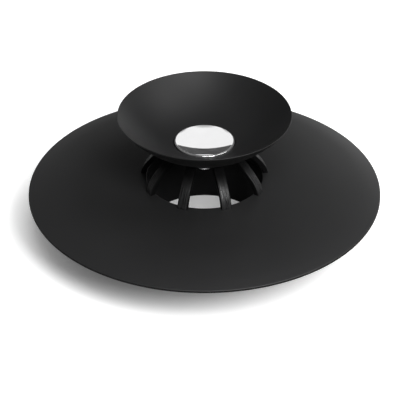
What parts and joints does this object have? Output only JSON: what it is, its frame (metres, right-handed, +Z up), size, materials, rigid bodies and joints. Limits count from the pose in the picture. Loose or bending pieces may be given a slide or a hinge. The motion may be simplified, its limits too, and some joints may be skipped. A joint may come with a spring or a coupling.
{
  "type": "sink strainer",
  "caption": "Pop-up sink strainer: a wide sloping flange with a short drain collar, a cage of curved arms and a dished stopper bowl with a metal push button.",
  "frame": {"origin": "middle of the collar's foot, the face that the strainer stands on", "axes": "+Z up along the collar's axis, out of the drain; -Y towards the picture's camera, in the middle of a window between two arms"},
  "size_m": [0.13, 0.13, 0.0495],
  "materials": {
    "flange_rubber": "satin moulded black rubber",
    "collar_rubber": "satin moulded black rubber",
    "arm_rubber": "satin moulded black rubber with fine drawn streaks",
    "cage_hub_rubber": "satin moulded black rubber",
    "bowl_rubber": "smooth satin moulded black rubber",
    "button_metal": "polished",
    "washer_steel": "plain",
    "screw_steel": "plain"
  },
  "bodies": {
    "strainer": {"flange": "flange_rubber", "collar": "collar_rubber", "arm_1": "arm_rubber", "arm_2": "arm_rubber", "arm_3": "arm_rubber", "arm_4": "arm_rubber", "arm_5": "arm_rubber", "arm_6": "arm_rubber", "arm_7": "arm_rubber", "arm_8": "arm_rubber", "arm_9": "arm_rubber"},
    "stopper": {"cage_hub": "cage_hub_rubber", "bowl": "bowl_rubber", "button": "button_metal", "washer": "washer_steel", "screw": "screw_steel"}
  },
  "joints": [
    {"name": "stopper_press", "type": "slide", "parent": "strainer", "child": "stopper", "axis": [0, 0, -1], "range_m": [0, 0.015], "deforming": ["arm_1", "arm_2", "arm_3", "arm_4", "arm_5", "arm_6", "arm_7", "arm_8", "arm_9"]}
  ]
}
